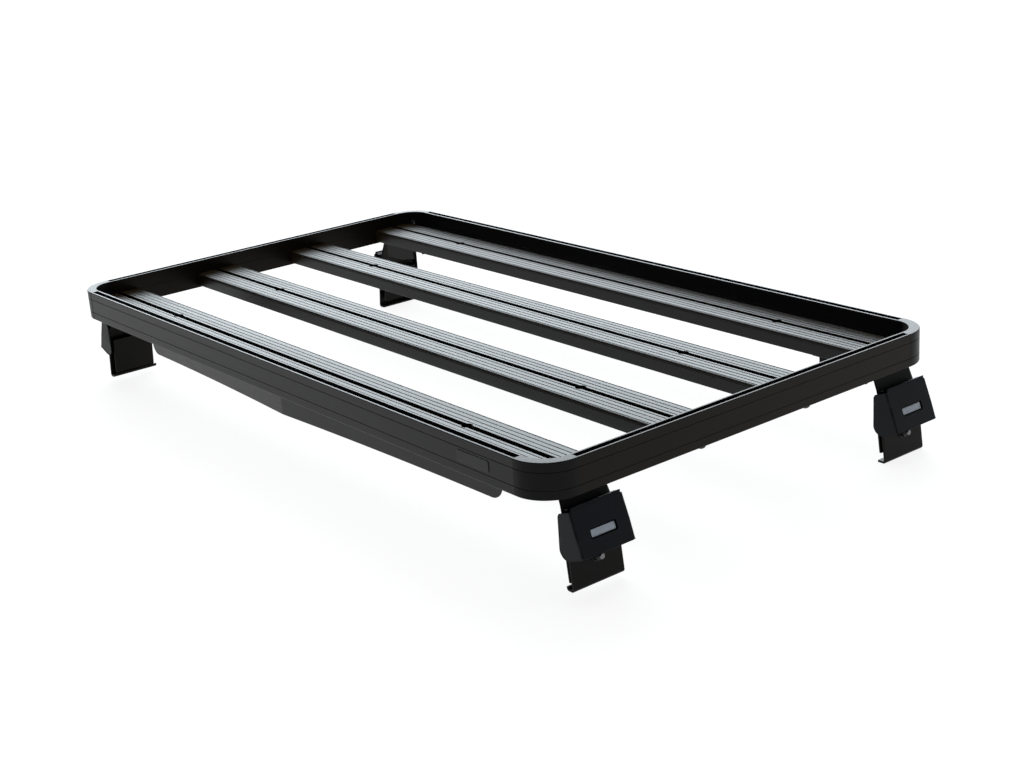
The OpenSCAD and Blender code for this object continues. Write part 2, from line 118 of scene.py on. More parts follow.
def gridFaces(rows, cols, ring):
    # Quads of a grid of rows by cols points. Each row closes round to its first point, and in a ring the
    # last row joins the first.
    i = np.arange(rows if ring else rows - 1)[:, None]
    j = np.arange(cols)[None]
    here, after, k = i * cols, (i + 1) % rows * cols, (j + 1) % cols
    return np.stack(np.broadcast_arrays(here + j, after + j, after + k, here + k), -1).reshape(-1, 4)


def shell(grid, ring=False):
    # One closed surface: the grid's quads and, unless it is a ring, a face over the first and the last row.
    # The sign of its volume, the sum of a . (b x c) / 6 over the triangles, tells if it is inside out.
    rows, cols = grid.shape[:2]
    points = grid.reshape(-1, 3)
    quads = gridFaces(rows, cols, ring)
    a, b, c, d = (points[quads[:, n]] for n in range(4))
    volume = (a * np.cross(b, c)).sum() + (a * np.cross(c, d)).sum()
    faces = quads.tolist()
    if not ring:
        first, last = np.arange(cols), (rows - 1) * cols + np.arange(cols)
        for row, way in ((first, 1), (last, -1)):
            fan = points[row]
            hub = fan.mean(0)
            volume += way * (hub * np.cross(fan, np.roll(fan, -1, 0))).sum()
            faces.append(row[::way].tolist())
    if volume < 0:
        faces = [f[::-1] for f in faces]
    return points, faces


def moved(shells, way, mirrored=False):
    # Shells whose points have gone the given way; mirrored ones need their faces the other way round.
    return [(way(points), [f[::-1] for f in faces] if mirrored else faces) for points, faces in shells]


def placed(p, x, y, z, turn=0, mirror=1):
    # Points turned about the upright, moved, and mirrored in X where mirror is -1.
    c, s = math.cos(turn), math.sin(turn)
    across = x + p[:, 0] * c - p[:, 1] * s
    return np.stack([mirror * across, y + p[:, 0] * s + p[:, 1] * c, z + p[:, 2]], -1)


def readValues(items, name, kind=float, width=1):
    # One value of every item of a mesh as an array, in rows where it has more than one number.
    values = np.empty(len(items) * width, kind)
    items.foreach_get(name, values)
    return values.reshape(-1, width) if width > 1 else values


# A turn's greatest sum, a rounded edge's least share of turning perimeter and its greatest width in metres
roundedEdge = {"sum": 1.994, "share": 0.6, "width": 0.0006}


def markEdges(mesh):
    # A face attribute, 1 on the narrow faces of a rounded edge and 0 elsewhere. A face's width is twice its
    # area over its perimeter. The surface turns at an edge where the normals of its two faces add up to a
    # vector s with s . n below 2, and a rounded edge's faces turn along most of their perimeter.
    loops = readValues(mesh.loops, "vertex_index", int)
    lines = readValues(mesh.loops, "edge_index", int)
    sizes = readValues(mesh.polygons, "loop_total", int)
    starts = readValues(mesh.polygons, "loop_start", int)
    areas = readValues(mesh.polygons, "area")
    points = readValues(mesh.vertices, "co", float, 3)
    face = np.repeat(np.arange(len(sizes)), sizes)
    normals = readValues(mesh.polygons, "normal", float, 3)[face]
    nxt = np.arange(len(loops)) + 1
    nxt[starts + sizes - 1] = starts
    lengths = np.linalg.norm(points[loops[nxt]] - points[loops], axis=1)
    sums = np.stack([np.bincount(lines, normals[:, n], len(mesh.edges)) for n in range(3)], 1)
    turns = (sums[lines] * normals).sum(1) < roundedEdge["sum"]
    perimeters = np.bincount(face, lengths)
    values = np.bincount(face, lengths * turns) > roundedEdge["share"] * perimeters
    values &= 2 * areas < roundedEdge["width"] * perimeters
    mesh.attributes.new("edge", "FLOAT", "FACE").data.foreach_set("value", values.astype(np.float32))


def makePiece(name, shells, material, nodes=(), sharp=38):
    # Shells in millimetres become one object in metres that rides on the rack's only body. Its shading
    # breaks where the surface turns by more than sharp degrees.
    verts, faces, start = [], [], 0
    for points, quads in shells:
        verts.append(points)
        faces += [[n + start for n in f] for f in quads]
        start += len(points)
    mesh = bpy.data.meshes.new(name)
    mesh.from_pydata((np.concatenate(verts) * mm).tolist(), [], faces)
    mesh.validate()
    mesh.shade_smooth()
    mesh.set_sharp_from_angle(angle=math.radians(sharp))
    mesh.materials.append(material)
    markEdges(mesh)
    piece = bpy.data.objects.new(name, mesh)
    bpy.context.scene.collection.objects.link(piece)
    # Large faces lead the shading, so the flat ones stay flat beside their rounded edges
    weighted = piece.modifiers.new("weighted normals", "WEIGHTED_NORMAL")
    weighted.keep_sharp = True
    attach(piece, "root")
    if nodes:
        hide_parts(*nodes)


# Materials

def feed(tree, node, inputs):
    # An input is linked where its value is another node's socket, and otherwise it holds the value.
    for name, value in inputs.items():
        if isinstance(value, bpy.types.NodeSocket):
            tree.links.new(value, node.inputs[name])
        else:
            node.inputs[name].default_value = value
    return node


def addNode(tree, kind, inputs):
    # A new shader node with its inputs.
    return feed(tree, tree.nodes.new("ShaderNode" + kind), inputs)


def maths(tree, operation, *values):
    # The result of one operation on numbers or sockets.
    node = tree.nodes.new("ShaderNodeMath")
    node.operation = operation
    return feed(tree, node, dict(enumerate(values))).outputs[0]


def mixColor(tree, factor, first, second):
    # The first colour, turned to the second by the factor.
    node = tree.nodes.new("ShaderNodeMix")
    node.data_type = "RGBA"
    return feed(tree, node, {"Factor": factor, "A": first, "B": second}).outputs["Result"]


def carried(tree, value, before, after, smooth=False):
    # A value carried from the range before to the range after, in a straight line or a smooth step.
    node = tree.nodes.new("ShaderNodeMapRange")
    node.interpolation_type = "SMOOTHSTEP" if smooth else "LINEAR"
    return feed(tree, node, {"Value": value, "From Min": before[0], "From Max": before[1],
                             "To Min": after[0], "To Max": after[1]}).outputs["Result"]


def toned(color, share=1):
    # A colour of three numbers at a share of its brightness, with its alpha.
    return (*[c * share for c in color], 1)


def newMaterial(name):
    # A material with its node tree, its shader and the Object coordinates.
    material = bpy.data.materials.new(name)
    material.use_nodes = True
    tree = material.node_tree
    place = tree.nodes.new("ShaderNodeTexCoord").outputs["Object"]
    return material, tree, tree.nodes["Principled BSDF"], place


# Tones are shares of a coat's colour, and wear is how far its edges go to the rubbed colour
coat = {"tones": (0.8, 1.25), "roughSpread": 0.04, "roughRange": (0.3, 0.7), "specular": 0.2,
        "glossTint": (1, 1, 1), "peelScale": 900, "peelBump": 0.1, "lineScale": 420, "lineBump": 0.05,
        "stretch": {"x": (0.004, 1, 1), "y": (1, 0.004, 1), "no": (1, 1, 1)}, "bumpDeep": 0.0002,
        "patchScale": 9, "wear": 0, "wearScale": 60, "wearRange": (0.45, 0.7), "rubbed": (0.09, 0.09, 0.092)}


def powderCoat(name, color, roughness, along="x", **changes):
    # Satin powder coat with an orange-peel bump, small patches where the tone differs, and faint draw lines
    # along X, along Y or in no direction; the changes take the place of the coat's own values.
    look = {**coat, **changes}
    material, tree, shader, place = newMaterial(name)

    def noise(scale, detail, stretch=(1, 1, 1)):
        # Noise in the Object coordinates times stretch, so it is long where stretch is small.
        mapping = addNode(tree, "Mapping", {"Vector": place, "Scale": stretch})
        texture = addNode(tree, "TexNoise", {"Vector": mapping.outputs["Vector"], "Scale": scale,
                                             "Detail": detail})
        return texture.outputs["Fac"]

    lines = noise(look["lineScale"], 3, look["stretch"][along])
    base = mixColor(tree, noise(look["patchScale"], 4), *(toned(color, tone) for tone in look["tones"]))
    # The coat is thin on the edges, where handling has rubbed it in places
    edge = tree.nodes.new("ShaderNodeAttribute")
    edge.attribute_name = "edge"
    rub = carried(tree, noise(look["wearScale"], 5), look["wearRange"], (0, look["wear"]))
    worn = maths(tree, "MULTIPLY", edge.outputs["Fac"], rub)
    gloss = carried(tree, lines, look["roughRange"],
                    (roughness - look["roughSpread"], roughness + look["roughSpread"]))
    coarse = addNode(tree, "Bump", {"Height": lines, "Strength": look["lineBump"],
                                    "Distance": look["bumpDeep"]})
    fine = addNode(tree, "Bump", {"Height": noise(look["peelScale"], 2), "Strength": look["peelBump"],
                                  "Distance": look["bumpDeep"], "Normal": coarse.outputs["Normal"]})
    feed(tree, shader, {"Base Color": mixColor(tree, worn, base, toned(look["rubbed"])), "Roughness": gloss,
                        "Specular IOR Level": look["specular"], "Specular Tint": toned(look["glossTint"]),
                        "Normal": fine.outputs["Normal"]})
    return material


steel = {"tones": (0.75, 1.15), "gloss": (0.7, 1.4), "bump": 0.15, "bumpDeep": 0.0001,
         "bright": (0.17, 0.17, 0.175)}


def bareSteel(name, color, roughness, streaks, brightFrom=None):
    # Plated or blackened steel: metal with fine turning marks and dull spots. Past the distance brightFrom,
    # in metres from the rack's middle plane, it is bright.
    material, tree, shader, place = newMaterial(name)
    marks = addNode(tree, "TexNoise", {"Vector": place, "Scale": streaks, "Detail": 5}).outputs["Fac"]
    tint = mixColor(tree, marks, *(toned(color, tone) for tone in steel["tones"]))
    if brightFrom:
        parts = addNode(tree, "SeparateXYZ", {0: place})
        away = maths(tree, "ABSOLUTE", parts.outputs["X"])
        tint = mixColor(tree, maths(tree, "GREATER_THAN", away, brightFrom), tint, toned(steel["bright"]))
    bump = addNode(tree, "Bump", {"Height": marks, "Strength": steel["bump"], "Distance": steel["bumpDeep"]})
    gloss = carried(tree, marks, (0, 1), [roughness * share for share in steel["gloss"]])
    feed(tree, shader, {"Metallic": 1, "Base Color": tint, "Roughness": gloss,
                        "Normal": bump.outputs["Normal"]})
    return material


print("materials")
railAlongX = powderCoat("railCoatAlongX", (0.0066, 0.0066, 0.0068), 0.33, specular=0.17, wear=0.12)
# The side rails get a darker, warmer copy of the same coat with warm-tinted reflections: painted shade and
# painted warm light on them
shadedWarmRailAlongY = powderCoat("shadedWarmRailCoatAlongY", (0.0046, 0.0034, 0.0022), 0.33, "y", specular=0.11,
                        glossTint=(1, 0.95, 0.88), wear=0.08)
castingCoat = powderCoat("castingCoat", (0.005, 0.005, 0.005), 0.34, "no", specular=0.095, wear=0.1)
# The slats' reflections are tinted blue: a painted blue cast standing in for bluish light on their tops
slatCoat = powderCoat("slatCoat", (0.0115, 0.0078, 0.0032), 0.37, specular=0.19, wear=0.3,
                      glossTint=(0.72, 0.86, 1), lineBump=0.06)
deflectorCoat = powderCoat("deflectorCoat", (0.010, 0.010, 0.0102), 0.36, specular=0.27, wear=0.2)
legCoat = powderCoat("legCoat", (0.0066, 0.0054, 0.0044), 0.38, "no", specular=0.085, wear=0.25)
coverCoat = powderCoat("coverCoat", (0.0045, 0.0056, 0.0078), 0.38, "no", specular=0.12, wear=0.15)
plateCoat = powderCoat("plateCoat", (0.40, 0.43, 0.47), 0.3, "no")
# Near-black coat of the frames that paint the shade in the gap round each foot plate
shadeRimCoat = powderCoat("shadeRimCoat", (0.0015, 0.0015, 0.0017), 0.4, "no", specular=0.04)
# Its rounded edges go fully to the pale rubbed colour: a painted highlight that outlines the plate
railPlateCoat = powderCoat("railPlateCoat", (0.006, 0.006, 0.0062), 0.3, specular=0.22, wear=1)
darkBolt = bareSteel("darkBolt", (0.06, 0.06, 0.063), 0.4, 900)
studSteel = bareSteel("studSteel", (0.035, 0.035, 0.036), 0.35, 1400, brightFrom=0.6595)
screwSteel = bareSteel("screwSteel", (0.16, 0.16, 0.17), 0.35, 900)


# Rails and corner castings

rail = {"height": 50, "thick": 16, "mouth": 9.2, "lip": 2.2, "deep": 6.6, "wide": 12,
        "grooveUp": 13, "grooveLow": 13, "grooveWide": 1.2, "grooveDeep": 0.7, "innerLine": 24.1,
        "edge": 1.3, "innerEdge": 0.91, "lipEdge": 0.45, "lineEdge": 0.18, "seam": 0.15, "cornerRows": 41}
slotRound = {"lip": 0.2, "chamber": 0.3, "floor": 0.6}


def slotPoints(middle, top, down, spec):
    # The eight corners of a bolt slot, left to right, with their radii: mouth, lip and chamber, then the
    # same mirrored.
    m, w, lip, end = spec["mouth"] / 2, spec["wide"] / 2, spec["lip"], spec["lip"] + spec["deep"]
    x = np.array([-m, -m, -w, -w, w, w, m, m]) + middle
    z = top + down * np.array([0, lip, lip, end, end, lip, lip, 0])
    radii = [spec["lipEdge"], slotRound["lip"], slotRound["chamber"], slotRound["floor"]]
    return np.stack([x, z], -1), radii + radii[::-1]


def linePoints(x, deep, z, wide):
    # A groove line in an upright face, from below upwards: in, up and out again.
    low, high = z - wide / 2, z + wide / 2
    return np.array([[x, low], [x + deep, low], [x + deep, high], [x, high]])


def outerGrooves(spec):
    # The outer face's two groove lines, the lower one first, each set by its distance from its own edge.
    places = (spec["grooveLow"] - spec["height"], -spec["grooveUp"])
    return np.concatenate([linePoints(0, spec["grooveDeep"], z, spec["grooveWide"]) for z in places])


def railLoop(spec):
    # Across the top with its slot, down the inner face, back under, and up the outer face's two lines.
    t, h, e, soft = spec["thick"], spec["height"], spec["edge"], spec["innerEdge"]
    top, slotRadii = slotPoints(t / 2, 0, -1, spec)
    under = slotPoints(t / 2, -h, 1, spec)[0]
    inner = linePoints(t, -spec["grooveDeep"], -spec["innerLine"], spec["grooveWide"])[::-1]
    lineRadii = [spec["lineEdge"]] * 4
    points = np.concatenate([[[0, 0]], top, [[t, 0]], inner, [[t, -h]], under[::-1], [[0, -h]],
                             outerGrooves(spec)])
    return roundLoop(points, [e, *slotRadii, soft, *lineRadii, soft, *slotRadii, e, *lineRadii, *lineRadii])


def makeRail(name, node, away, half, turn, material):
    # The rail's loop carried along a straight line; turn is the angle of its outward direction.
    rows, along = softEnds(railLoop(rail), -half, half, rail["seam"])
    out = away - rows[..., 0]
    side = np.broadcast_to(along[:, None], out.shape)
    c, s = math.cos(turn), math.sin(turn)
    grid = np.stack([out * c - side * s, out * s + side * c, rack["top"] + rows[..., 1]], -1)
    makePiece(name, [shell(grid)], material, [node])


def makeCorner(name, node, sx, sy):
    # The plain section carried along a short stub, round a quarter circle and along a second stub. On the
    # circle the radius is the corner's less the depth in the section, and the angle is length / radius.
    h, t, e, soft = rail["height"], rail["thick"], rail["edge"], rail["innerEdge"]
    points = np.concatenate([[[0, 0], [t, 0], [t, -h], [0, -h]], outerGrooves(rail)])
    loop = roundLoop(points, [e, soft, soft, e] + [rail["lineEdge"]] * 8)
    radius, stub = rack["cornerRadius"], rack["cornerReach"] - rack["cornerRadius"]
    quarter = radius * np.pi / 2
    rows, along = softEnds(loop, 0, 2 * stub + quarter, rail["seam"])
    half = len(rows) // 2   # the rows of one rounded end
    fill = stub + quarter * np.linspace(0, 1, rail["cornerRows"])
    rows = np.concatenate([rows[:half], np.repeat(rows[half - 1:half], len(fill), 0), rows[half:]])
    along = np.concatenate([along[:half], fill, along[half:]])[:, None]
    angle = np.clip((along - stub) / radius, 0, np.pi / 2)
    before, after = np.maximum(stub - along, 0), np.maximum(along - stub - quarter, 0)
    r = radius - rows[..., 0]
    grid = np.stack([sx * (cornerX + r * np.cos(angle) - after), sy * (cornerY + r * np.sin(angle) - before),
                     rack["top"] + rows[..., 1]], -1)
    makePiece(name, [shell(grid)], castingCoat, [node])


print("rails and corners")
makeRail("frontRail", "front_rail", halfLength, railX, -math.pi / 2, railAlongX)
makeRail("rearRail", "rear_rail", halfLength, railX, math.pi / 2, railAlongX)
makeRail("leftRail", "left_rail", halfWidth, railY, math.pi, shadedWarmRailAlongY)
makeRail("rightRail", "right_rail", halfWidth, railY, 0, shadedWarmRailAlongY)
for sx, sy, name, node in corners:
    makeCorner(name + "Corner", node + "_corner", sx, sy)


# Slats

slat = {"width": 82, "height": 23, "drop": 23.5, "mouth": 9.2, "lip": 2.2, "deep": 6.6, "wide": 14,
        "gaps": 4, "gapFirst": 9.9, "gapPitch": 8.9, "gapDeep": 0.55, "gapWide": 2.2, "shoulder": 3,
        "shoulderRound": 2.98, "lipEdge": 0.4, "ribEdge": 0.25, "lineEdge": 0.18, "lowEdge": 1,
        "lineDeep": 0.7, "lineWide": 1.2, "holeAt": 408, "hole": 16, "holeRows": 17, "farRow": 600,
        "cornerClear": 0.3}
slatUnder = rack["top"] - slat["drop"] - slat["height"]


def slatLoop(spec):
    # Along the top from left to right: shoulder, rib gaps, slot, rib gaps, shoulder; then one line down
    # the side, back along the underside with its own slot, and up the other side.
    half = spec["width"] / 2
    middle = spec["gapFirst"] + np.arange(spec["gaps"]) * spec["gapPitch"]
    g, d = spec["gapWide"] / 2, spec["gapDeep"]
    gap = np.array([[-g, 0], [-g, -d], [g, -d], [g, 0]])
    ribs = (np.stack([middle, middle * 0], -1)[:, None] + gap).reshape(-1, 2)
    top, slotRadii = slotPoints(0, 0, -1, spec)
    under = slotPoints(0, -spec["height"], 1, spec)[0]
    line = linePoints(half, -spec["lineDeep"], -spec["shoulder"] - spec["lineWide"], spec["lineWide"])[::-1]
    mirror = np.array([-1, 1])
    points = np.concatenate([[[-half, 0]], (ribs * mirror)[::-1], top, ribs, [[half, 0]], line,
                             [[half, -spec["height"]]], under[::-1], [[-half, -spec["height"]]],
                             (line * mirror)[::-1]])
    ribRadii, lineRadii = [spec["ribEdge"]] * len(ribs), [spec["lineEdge"]] * 4
    shoulder, low = spec["shoulderRound"], spec["lowEdge"]
    return roundLoop(points, [shoulder, *ribRadii, *slotRadii, *ribRadii, shoulder, *lineRadii, low,
                              *slotRadii, low, *lineRadii])


def makeSlat(number, y):
    # The section carried along X. At a bolt entry hole of radius q the slot's sides move out to
    # sqrt(q^2 - (x - hole)^2). A slat ends at the side rails, and an end slat at the castings' inner circle,
    # sqrt(reach^2 - past^2) out from their centres.
    loop = slatLoop(slat)
    across = loop[:, 0]
    q, far = slat["hole"] / 2, slat["farRow"]
    circle = q * np.cos(np.linspace(np.pi, 0, slat["holeRows"]))
    inner = np.concatenate([[-far], -slat["holeAt"] + circle, [0], slat["holeAt"] + circle, [far]])
    past = np.abs(y + across) - cornerY
    reach = rack["cornerRadius"] - rail["thick"] - slat["cornerClear"]
    end = np.where(past > 0, cornerX + np.sqrt(np.maximum(reach ** 2 - past ** 2, 0)),
                   halfWidth - rail["thick"])
    x = np.concatenate([-end[None], np.repeat(inner[:, None], len(loop), 1), end[None]])
    offHole = np.minimum(np.abs(x - slat["holeAt"]), np.abs(x + slat["holeAt"]))
    widened = np.sqrt(np.maximum(q ** 2 - offHole ** 2, 0))
    inSlot = np.abs(across) <= slat["wide"] / 2 + slack
    inSlot &= loop[:, 1] > -slat["lip"] - slat["deep"] - slack
    side = np.where(inSlot, np.sign(across) * np.maximum(np.abs(across), widened), across)
    z = np.broadcast_to(rack["top"] - slat["drop"] + loop[:, 1], x.shape)
    makePiece(f"slat{number}", [shell(np.stack([x, y + side, z], -1))], slatCoat,
              [f"slat_{number}"])


print("slats")
for number, y in enumerate(slatRows, 1):
    makeSlat(number, y)


# Wind deflector

# Low is the lower edge's depth under the rack's top at the crease, and fall what is added at the ends
deflector = {"half": 494, "set": 22, "sweep": 34, "low": 92.2, "fall": 12.6, "rise": 2.2, "thick": 2,
             "top": 138.5, "cut": 20.5, "edge": 0.45, "crease": 0.004, "wing": (0.05, 0.9), "rows": 12,
             "cutRows": 10, "sharp": 30,
             "at": (-0.85, -0.35, 0.35, 0.85), "bracketWide": 30, "bracketHigh": 30, "bracketThick": 3,
             "bracketBend": 4, "bracketPast": 13, "bracketEdge": 0.4, "boltTail": 2}


def deflectorPlan(t, spec=deflector):
    # Place in Y at t, from 0 at the crease to 1 at an end: a straight sweep back.
    return -halfLength + spec["set"] + spec["sweep"] * t


def makeDeflector(spec):
    # The section, a thin strip with rounded edges, stands on the lower edge's height at each t and is
    # carried along the plan; its thickness lies along the plan's normal. With a = |t|, the lower edge falls
    # by fall * a less an arch of 4 * rise * a * (1 - a). Within r of an end it rises by
    # r - sqrt(r^2 - d^2), with d the distance past the rounding's start.
    quarter = np.linspace(np.pi / 2, 0, spec["cutRows"])
    tip = 1 - spec["cut"] / spec["half"] * (1 - np.sin(quarter))
    wing = np.linspace(*spec["wing"], spec["rows"])
    t = np.concatenate([[spec["crease"]], wing, tip[::-1]])
    t = np.concatenate([-t[::-1], t])
    x, a = t * spec["half"], np.abs(t)
    low = rack["top"] - spec["low"] - spec["fall"] * a + 4 * spec["rise"] * a * (1 - a)
    into = np.maximum(spec["cut"] - spec["half"] + np.abs(x), 0)
    low = low + spec["cut"] - np.sqrt(spec["cut"] ** 2 - into ** 2)
    slope = (np.sign(t) * spec["sweep"] / spec["half"])[:, None]
    # The section is drawn 10 high, and its upper half is then lifted to the sheet's top
    drawn = 10
    depth, high = boxLoop(0, spec["thick"], 0, drawn, spec["edge"], 3).T
    z = np.where(high > drawn / 2, spec["top"] - drawn + high, low[:, None] + high)
    length = np.sqrt(1 + slope ** 2)
    grid = np.stack([x[:, None] - depth * slope / length, deflectorPlan(a)[:, None] + depth / length, z], -1)
    makePiece("windDeflector", [shell(grid)], deflectorCoat, ["wind_deflector"],
              spec["sharp"])


def bracketPlace(t, spec=deflector):
    # A bracket's place behind the sheet at t, with its angle and its reach to the slot.
    y = deflectorPlan(abs(t)) + spec["thick"]
    turn = math.copysign(math.atan2(spec["sweep"], spec["half"]), t)
    return t * spec["half"], y, turn, slatRows[0] - y


def sheetLoop(path, thick, bend, edge=0.6, steps=5):
    # Outline of a bent sheet on the right of its path. The far side is mitred: at each corner the point
    # moves by (m + n) * thick / (1 + m . n), with m and n the normals of the stretches that meet there.
    path = np.asarray(path, float)
    step = np.diff(path, axis=0)
    n = np.stack([step[:, 1], -step[:, 0]], -1) / np.linalg.norm(step, axis=1, keepdims=True)
    m = np.concatenate([n[:1], n])
    n = np.concatenate([n, n[-1:]])
    far = path + (m + n) * thick / (1 + (m * n).sum(1, keepdims=True))
    turn = m[:, 0] * n[:, 1] - m[:, 1] * n[:, 0]
    near = np.where(turn < 0, bend + thick, bend)
    inner = np.where(turn < 0, bend, bend + thick)
    near[[0, -1]] = inner[[0, -1]] = edge
    return roundLoop(np.concatenate([path, far[::-1]]), np.concatenate([near, inner[::-1]]), steps)


print("deflector")
makeDeflector(deflector)
brackets = []
for t in deflector["at"]:
    x, y, turn, reach = bracketPlace(t)
    path = [[reach + deflector["bracketPast"], 0], [0, 0], [0, -deflector["bracketHigh"]]]
    loop = sheetLoop(path, -deflector["bracketThick"], deflector["bracketBend"])
    half = deflector["bracketWide"] / 2
    bracket = shell(extrude(loop, -half, half, deflector["bracketEdge"], "yzx"))
    brackets += moved([bracket], lambda p: placed(p, x, y, slatUnder, turn))
makePiece("deflectorBrackets", brackets, legCoat, ["deflector_brackets"])


# Bolts, nuts and studs

bolt = {"size": 8, "acrossFlats": 13, "nut": 6.5, "cone": 0.6, "nutFace": 0.95, "nutEdge": 0.15,
        "nutOver": 0.1, "washer": 1.4, "washerEdge": 0.2, "washerTo": (7.8, 8.125), "head": 5.4,
        "headRound": 0.8, "headEdge": 0.4, "into": 0.5, "thread": 0.42, "pitch": 1.25, "turnRows": 6,
        "taper": 1, "around": 48}
free = 99   # a limit that no radius reaches
around = np.arange(bolt["around"]) * 2 * np.pi / bolt["around"]


def turned(profile, sides=0):
    # Profile points (radius, height) carried round; with sides, radii follow a polygon: r / cos(a), a being
    # the angle to the middle of the nearest side, but never past the limit in the last column.
    profile = np.asarray(profile, float)
    radius = np.repeat(profile[:, :1], len(around), 1)
    if sides:
        part = 2 * np.pi / sides
        flat = radius / np.cos((around + part / 2) % part - part / 2)
        radius = np.minimum(flat, profile[:, 2:3])
    z = np.broadcast_to(profile[:, 1:2], radius.shape)
    return np.stack([radius * np.cos(around), radius * np.sin(around), z], -1)


def hexNut(low, high, spec=bolt):
    # Six flats whose corners are cut by the cones of the two chamfers, which limit the radius. The rows of
    # the lower half are repeated upside down for the upper one.
    r, bore = spec["acrossFlats"] / 2, spec["size"] / 2
    corner = r / math.cos(math.pi / 6)
    half = np.array([[bore, 0, free], [r * spec["nutFace"], 0, free],
                     [r, spec["nutEdge"], r + spec["nutOver"]], [r, (corner - r) * spec["cone"], corner]])
    return turned(np.concatenate([half + [0, low, 0], half[::-1] * [1, -1, 1] + [0, high, 0]]), 6)


def washerShell(start, end, narrow, wide, spec=bolt):
    # A washer between two heights; its rim goes from the narrow radius to the wide one over its edge.
    bore, edge = spec["size"] / 2, math.copysign(spec["washerEdge"], end - start)
    return shell(turned([[bore, start], [narrow, start], [wide, start + edge], [wide, end - edge],
                         [narrow, end], [bore, end]]))


def threaded(low, high, spec=bolt):
    # A screw's thread: radius = r - depth * w(z / pitch - a / 2 pi), w being a triangle wave; at the high
    # end the turns fade into a chamfer.
    z = np.arange(low, high + slack, spec["pitch"] / spec["turnRows"])[:, None]
    wave = np.abs((z / spec["pitch"] - around / (2 * np.pi)) % 1 * 2 - 1)
    radius = spec["size"] / 2 - spec["thread"] * wave
    radius = np.minimum(radius, spec["size"] / 2 - spec["taper"] + high - z)
    return np.stack([radius * np.cos(around), radius * np.sin(around), np.broadcast_to(z, radius.shape)], -1)


def slotBolt(plate, tail, spec=bolt):
    # A slot bolt hanging from its square head: head, shank, washer, nut and threaded tail.
    r, shank = spec["acrossFlats"] / 2, spec["size"] / 2
    head = boxLoop(-r, r, -r, r, spec["headRound"], 3)
    below = -plate - spec["washer"]
    return [shell(extrude(head, slat["lip"], slat["lip"] + spec["head"], spec["headEdge"], "xyz")),
            shell(turned([[shank, slat["lip"] + spec["into"]], [shank, -plate - spec["into"]]])),
            washerShell(-plate, below, *spec["washerTo"]), shell(hexNut(-plate - spec["nut"], below)),
            shell(threaded(-plate - spec["nut"] - tail, below))]


print("bolts")
deflectorBolts = []
for t in deflector["at"]:
    x, y, turn, reach = bracketPlace(t)
    deflectorBolts += moved(slotBolt(deflector["bracketThick"], deflector["boltTail"]),
                            lambda p: placed(p + np.array([0, reach, 0]), x, y, slatUnder, turn))
makePiece("deflectorBolts", deflectorBolts, darkBolt, ["deflector_bolts"])


# Feet

# Heights and depths are from the sole and the rack's middle plane; leans are in degrees
foot = {"frontRaise": 8, "frontAt": -293, "rearAt": 307, "baseIn": 510, "kink": 84, "leanUp": 20,
        "leanLow": 7, "hookX": 653, "hookDeep": 15, "lip": 6, "thick": 3.5, "bend": 1, "wide": 85.6,
        "baseWide": 76, "step": 92.8, "stepHalf": 0.3, "edge": 0.45, "flangeLow": 32, "flangeHigh": 40,
        "rearLess": 13, "flangeBack": 10, "flangeRadii": (0.6, 2, 30, 2, 8), "flangeEdge": 0.5,
        "studAt": 38.5, "studOut": 13, "studWasher": (8.2, 8.4), "gap": 8, "boltsAt": (535, 590),
        "boltTail": 8, "into": 1}


def footPlace(sx, sy):
    # From a foot's frame (X outward, Y backwards, Z up from its sole) to the rack's.
    y, z = (foot["frontAt"], foot["frontRaise"]) if sy < 0 else (foot["rearAt"], 0)
    return lambda p: placed(p, 0, y, z, 0, sx)


def leaned(p, lean, x, z):
    # Points turned about Y and then moved: X points to (cos a, sin a) and Z, leaning in, to (-sin a, cos a).
    a = math.radians(lean)
    c, s = math.cos(a), math.sin(a)
    return np.stack([x + p[:, 0] * c - p[:, 2] * s, p[:, 1], z + p[:, 0] * s + p[:, 2] * c], -1)


def legPlane(p):
    # From the lower leg's frame (X out of its face, Z up along it) to the foot's.
    return leaned(p, foot["leanLow"], foot["hookX"], 0)


def crossed(loop, z, half):
    # The outline with points put in where it crosses the height z, one just before it and one just after.
    nxt = np.roll(loop, -1, 0)
    cross = np.flatnonzero((loop[:, 1] - z) * (nxt[:, 1] - z) < 0)
    a, b = loop[cross], nxt[cross]
    part = ((z - a[:, 1]) / (b[:, 1] - a[:, 1]))[:, None]
    tiny = half / np.abs(b[:, 1] - a[:, 1])[:, None]
    extra = np.stack([a + (b - a) * (part - tiny), a + (b - a) * (part + tiny)], 1)
    return np.insert(loop, np.repeat(cross + 1, 2), extra.reshape(-1, 2), axis=0)


